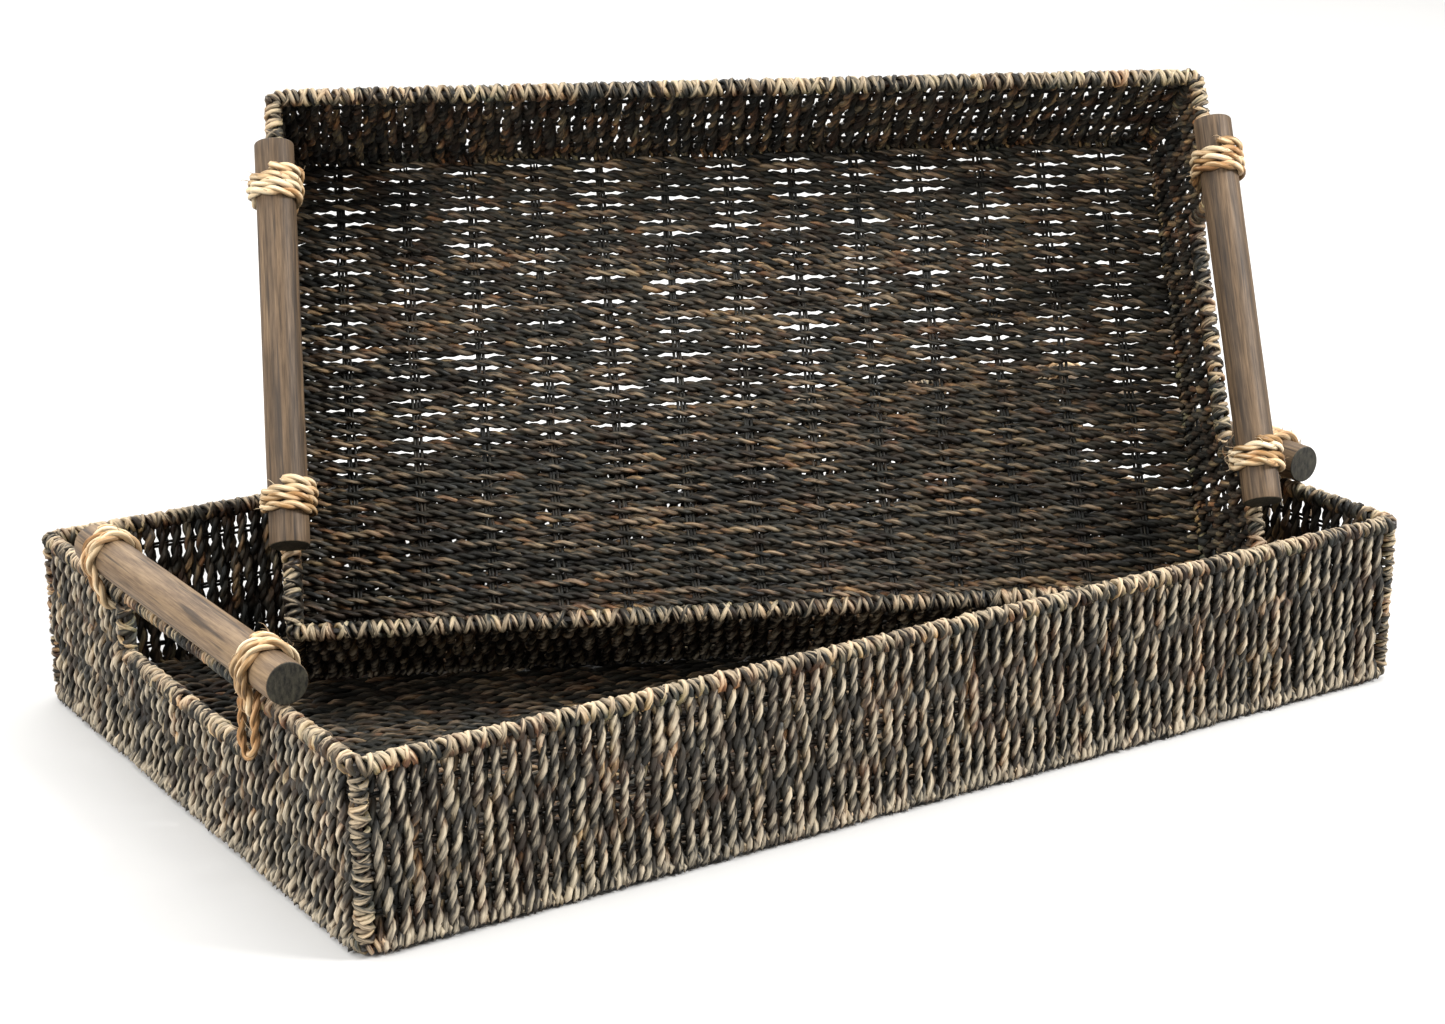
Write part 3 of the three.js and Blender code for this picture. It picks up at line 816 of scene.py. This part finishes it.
def stained_wood(tray, half_length, darkening):
    """Stained open-grained hardwood: fine dark pores along the dowel, and dark end grain.

    darkening is how much darker the whole dowel's colour is set; the small tray's are set darker than the
    large tray's.
    """
    material, tree, shader = new_material(f"grey_stained_hardwood_{tray.prefix}")
    place = add_node(tree, "ShaderNodeTexCoord").outputs["Object"]
    back = Matrix(tray.turn.tolist()).transposed()
    to_tray = add_node(tree, "ShaderNodeMapping", [("Vector", place)])
    to_tray.inputs["Rotation"].default_value = back.to_euler()
    to_tray.inputs["Location"].default_value = -(back @ Vector(tray.origin))

    def grain(scale, detail, rough):
        """Noise drawn out along the dowel, which lies along y."""
        spread = add_node(tree, "ShaderNodeVectorMath", [(0, to_tray.outputs[0])], operation="MULTIPLY")
        spread.inputs[1].default_value = scale
        return add_node(tree, "ShaderNodeTexNoise", [("Vector", spread.outputs[0])],
                        Scale=1.0, Detail=detail, Roughness=rough).outputs["Fac"]

    pores = grain((900.0, 45.0, 900.0), 3.0, 0.7)        # pores about a millimetre wide, 20 mm long
    checks = grain((330.0, 14.0, 330.0), 2.0, 0.6)       # a few fine cracks, opened as it dried
    bands = grain((210.0, 9.0, 210.0), 3.0, 0.6)         # growth bands about 5 mm apart
    cloud = grain((60.0, 22.0, 60.0), 2.0, 0.5)
    stain = add_node(tree, "ShaderNodeMath", [(0, pores), (1, bands)], operation="ADD")
    mixed = add_node(tree, "ShaderNodeMath", [(0, cloud), (2, stain.outputs[0])],
                     operation="MULTIPLY_ADD")
    mixed.inputs[1].default_value = 0.4
    taken = add_node(tree, "ShaderNodeMapRange", [("Value", mixed.outputs[0])],
                     From_Min=0.53 + darkening, From_Max=1.48 + darkening)
    ramp = add_node(tree, "ShaderNodeValToRGB", [("Fac", taken.outputs[0])])
    set_colours(ramp, [(0.0, "#281f17"), (0.35, "#473828"), (0.62, "#624f3b"), (1.0, "#836d52")])
    open_check = add_node(tree, "ShaderNodeMapRange", [("Value", checks)],
                          From_Min=0.57, From_Max=0.66, To_Max=0.75)
    cracked = add_node(tree, "ShaderNodeMix", [("Factor", open_check.outputs[0])], data_type="RGBA")
    tree.links.new(ramp.outputs["Color"], cracked.inputs["A"])
    cracked.inputs["B"].default_value = srgb("#2b221a")
    split = add_node(tree, "ShaderNodeSeparateXYZ", [("Vector", to_tray.outputs[0])])
    centred = add_node(tree, "ShaderNodeMath", [(0, split.outputs["Y"])], operation="SUBTRACT")
    centred.inputs[1].default_value = tray.shift * MM
    reach = add_node(tree, "ShaderNodeMath", [(0, centred.outputs[0])], operation="ABSOLUTE")
    sawn = add_node(tree, "ShaderNodeMapRange", [("Value", reach.outputs[0])],
                    From_Min=(half_length - 0.5) * MM, From_Max=(half_length - 0.1) * MM)
    end_grain = add_node(tree, "ShaderNodeMapRange", [("Value", grain((620.0, 300.0, 260.0), 4.0, 0.7))],
                         From_Min=0.35, From_Max=0.68)
    end_tint = add_node(tree, "ShaderNodeMix", [("Factor", end_grain.outputs[0])], data_type="RGBA")
    end_tint.inputs["A"].default_value = srgb("#0c0b08")
    end_tint.inputs["B"].default_value = srgb("#3a372c")
    shown = add_node(tree, "ShaderNodeMix", [("Factor", sawn.outputs[0])], data_type="RGBA")
    tree.links.new(cracked.outputs["Result"], shown.inputs["A"])
    tree.links.new(end_tint.outputs["Result"], shown.inputs["B"])
    tree.links.new(shown.outputs["Result"], shader.inputs["Base Color"])
    dull = add_node(tree, "ShaderNodeMapRange", [("Value", pores)], To_Min=0.72, To_Max=0.5)
    tree.links.new(dull.outputs[0], shader.inputs["Roughness"])
    open_pores = add_node(tree, "ShaderNodeBump", [("Height", pores)], Strength=0.35)
    open_pores.inputs["Distance"].default_value = 0.4 * MM
    tree.links.new(open_pores.outputs["Normal"], shader.inputs["Normal"])
    shader.inputs["IOR"].default_value = 1.5
    shader.inputs["Specular IOR Level"].default_value = 0.3
    return material


DOWEL_RADIUS = 10.0
DOWEL_PAST_SLOT = 44.6     # the dowel reaches this far past the slot's end
DOWEL_LIFT = 10.3          # its middle is this far above the rim's top
BROKEN_EDGE = 0.7          # width of the sanded edge at each end
UNEVEN = 0.016             # share of its radius by which it is out of round
# The small tray's dowels are set darker than the large tray's.
for tray, seed, darkening in ((large, 81, 0.02), (small, 82, 0.22)):
    half = tray.slot_half + DOWEL_PAST_SLOT
    wood = stained_wood(tray, half, darkening)
    for side, sign in (("left", -1), ("right", 1)):
        shape = bmesh.new()
        bmesh.ops.create_cone(shape, cap_ends=True, segments=40, radius1=DOWEL_RADIUS,
                              radius2=DOWEL_RADIUS, depth=2 * half)
        long_edges = [edge for edge in shape.edges
                      if abs(edge.verts[0].co.z - edge.verts[1].co.z) > half]
        bmesh.ops.subdivide_edges(shape, edges=long_edges, cuts=30, use_grid_fill=True)
        rims = [edge for edge in shape.edges if all(abs(vert.co.z) > half - 0.01 for vert in edge.verts)]
        bmesh.ops.bevel(shape, geom=rims, offset=BROKEN_EDGE, segments=2, profile=0.5,
                        affect="EDGES", material=-1)
        start = Vector((seed * 3.1, sign * 7.7, 0.0))
        for vert in shape.verts:
            if abs(vert.co.z) < half - 0.1:
                bump = noise.noise(start + Vector((vert.co.x * 0.09, vert.co.y * 0.09, vert.co.z * 0.025)))
                vert.co.x *= 1 + UNEVEN * bump
                vert.co.y *= 1 + UNEVEN * bump
        laid = Matrix.Rotation(math.pi / 2, 4, "X")
        bmesh.ops.transform(shape, matrix=laid, verts=shape.verts)
        middle = (sign * tray.x, tray.shift, tray.height + DOWEL_LIFT)
        bmesh.ops.translate(shape, vec=middle, verts=shape.verts)
        seat = Matrix(tray.turn.tolist()).to_4x4()
        seat = Matrix.Translation(Vector(tray.origin)) @ seat @ Matrix.Scale(MM, 4)
        bmesh.ops.transform(shape, matrix=seat, verts=shape.verts)
        for face in shape.faces:
            face.smooth = len(face.verts) < 10       # all but the two sawn ends
        name = f"{tray.prefix}_{side}_dowel"
        mesh = bpy.data.meshes.new(name)
        shape.to_mesh(mesh)
        shape.free()
        mesh.materials.append(wood)
        dowel = bpy.data.objects.new(name, mesh)
        bpy.context.scene.collection.objects.link(dowel)
        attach(dowel, tray.body)
        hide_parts(f"{tray.prefix}_{side}_handle_dowel")


# ---- Rope lashings ----
# Three and a half turns of undyed, sun-dried seagrass rope, pale gold and dull, bind the dowel
# down to the rim on each side of the slot. They lie side by side on the dowel and draw together
# under the rim. One ends in a slack loop outside the large tray, and one is frayed to a tuft.

# Its pale worn colour is partly a painted highlight, and its strands carry painted shade down their sides.
rope_seagrass = seagrass(
    "natural_seagrass_rope",
    [(0.0, "#5e4329"), (0.25, "#987349"), (0.45, "#bd9d76"),
     (0.62, "#cfb38d"), (0.82, "#dcc5a2"), (1.0, "#e8d7b9")],
    "#e2d0b2", 0.7, 0.0, side_shade=0.34, cast_share=0.25)
ROPE_STRAND = 1.55         # radius of one of the rope's two strands
ROPE_LAY = 21.0
ROPE_MIDDLE = 2.0          # from what the rope lies on to its middle
ROPE_TURN_GAP = 4.3
ROPE_TURNS = 3.5
RIM_ROUND = 5.2            # radius of the bound rim under the rope
LASH_PAST_SLOT = 20.6      # from the slot's end to the middle of the lashing
ROPE_FIBRES = 30
LOOP_STRAND = 1.25         # the slack loop is a thinner and tighter twist
LOOP_LAY = 18.0
LOOP_FIBRES = 10
TUFT_FIBRES = 40


def pear(upper_z, upper_radius, lower_z, lower_radius, count):
    """A closed loop drawn tight round two circles, one above the other, evenly spaced."""
    angle = np.linspace(math.pi / 2, math.pi / 2 + 2 * math.pi, 400)
    on_upper = upper_z * np.sin(angle) + upper_radius > lower_z * np.sin(angle) + lower_radius
    radius = np.where(on_upper, upper_radius, lower_radius)
    height = np.where(on_upper, upper_z, lower_z)
    loop = np.stack([radius * np.cos(angle), height + radius * np.sin(angle)], axis=1)
    run = run_along(loop)
    even = np.linspace(0.0, run[-1], count, endpoint=False)
    return np.stack([np.interp(even, run, loop[:, axis]) for axis in range(2)], axis=1)


def lash(tray, x, middle, slot_side, luck):
    """A rope's turns round dowel and rim, drawn together towards the slot below the dowel."""
    steps = 54
    first = 30             # it starts just past its lowest point, tucked under the rim
    step = 1.6             # millimetres of rope from point to point, for its unevenness
    top = tray.height + DOWEL_LIFT
    loop = pear(top, DOWEL_RADIUS + ROPE_MIDDLE, tray.top, RIM_ROUND + ROPE_MIDDLE, steps)
    number = np.arange(int(steps * ROPE_TURNS))
    ring = loop[(number + first) % steps]
    part = number / steps - ROPE_TURNS / 2
    below = np.clip((top - ring[:, 1]) / (top - tray.top), 0.0, 1.2)
    spread = ROPE_TURN_GAP * part * (1 - 0.42 * below) + slot_side * 3.2 * below
    spread = spread + drift(number * step, 18.0, 0.5, luck)
    out = 1 + drift(number * step, 15.0, 0.02, luck)
    height = top + (ring[:, 1] - top) * out
    return np.stack([x + ring[:, 0] * out, middle + spread, height], axis=1)


def hanging_loop(x, y, top):
    """The slack end of a lashing: a narrow loop that hangs down outside the end wall."""
    out_over_the_rim = [(x + 2.0, y + 4.0, top + 6.0), (x - 6.5, y + 8.0, top - 1.0)]
    down = [(x - 7.0, y + 9.0, top - 20.0), (x - 7.5, y + 3.0, top - 28.0)]
    up = [(x - 7.5, y - 6.0, top - 22.0), (x - 7.0, y - 7.5, top - 4.0)]
    back_in = [(x - 5.0, y - 5.0, top + 5.0), (x + 2.0, y - 1.0, top + 7.5)]
    return rounded(out_over_the_rim + down + up + back_in, 4.0)


for tray, seed in ((large, 91), (small, 92)):
    luck = np.random.default_rng(seed)
    for end, x_sign in (("left", -1), ("right", 1)):
        for side, y_sign in (("front", -1), ("back", 1)):
            middle = tray.shift + y_sign * (tray.slot_half + LASH_PAST_SLOT)
            path = lash(tray, x_sign * tray.x, middle, -y_sign, luck)
            core = np.array([x_sign * tray.x, 0.0, tray.height])
            facing = unit((path - core) * np.array([1.0, 0.0, 1.0]))
            strands = []
            for ply_path, thick, out in twist(path, facing, ROPE_STRAND, ROPE_LAY, luck):
                # The outward side of each ply is paler: rubbed there, and a painted highlight.
                wear_and_highlight = np.clip(0.5 + 0.5 * out, 0, 1)
                strands.append(strand(ply_path, thick, wear_and_highlight, facing, luck))
            strands += stray_fibres(strands, ROPE_FIBRES, 8.0, 0.25, luck)
            if (tray.prefix, end, side) == ("large", "left", "front"):
                hung = hanging_loop(-tray.x, middle + 4.0, tray.top)
                outside = (-1.0, 0.0, 0.0)
                for ply_path, thick, out in twist(hung, outside, LOOP_STRAND, LOOP_LAY, luck):
                    wear_and_highlight = np.full(len(out), 0.2)
                    strands.append(strand(ply_path, thick, wear_and_highlight, outside, luck, tone_to=0.2))
                strands += stray_fibres(strands[-2:], LOOP_FIBRES, 8.0, 0.25, luck)
            if (tray.prefix, end, side) == ("small", "right", "front"):
                strands += stray_fibres(strands[:2], TUFT_FIBRES, 13.0, 0.3, luck, (-0.6, 0.3, -0.9))
            make_strands(tray, f"{tray.prefix}_{end}_{side}_rope", strands, rope_seagrass,
                         [f"{tray.prefix}_{end}_{side}_lashing"], sides=8)


# ---- Frame wires ----
# The wire frame under the weave is plain steel wire, dull with a little rust where damp
# got under the binding. Only glints of it show between the turns.

def dull_wire():
    """Bright drawn steel wire gone dull, with brown rust in patches."""
    material, tree, shader = new_material("dull_steel_wire")
    place = add_node(tree, "ShaderNodeTexCoord")
    rust = add_node(tree, "ShaderNodeTexNoise", [("Vector", place.outputs["Object"])],
                    Scale=180.0, Detail=3.0)      # spots about 5 mm across
    edge = add_node(tree, "ShaderNodeMapRange", [("Value", rust.outputs["Fac"])],
                    From_Min=0.5, From_Max=0.65)
    tint = add_node(tree, "ShaderNodeMix", [("Factor", edge.outputs[0])], data_type="RGBA")
    tint.inputs["A"].default_value = srgb("#4e4b48")
    tint.inputs["B"].default_value = srgb("#3b281c")
    tree.links.new(tint.outputs["Result"], shader.inputs["Base Color"])
    dull = add_node(tree, "ShaderNodeMapRange", [("Value", rust.outputs["Fac"])],
                    To_Min=0.35, To_Max=0.8)
    tree.links.new(dull.outputs[0], shader.inputs["Roughness"])
    shader.inputs["Metallic"].default_value = 0.9
    return material


wire_material = dull_wire()
for tray in (large, small):
    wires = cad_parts[f"{tray.prefix}_wire_frame"]
    wires.data.materials.clear()
    wires.data.materials.append(wire_material)
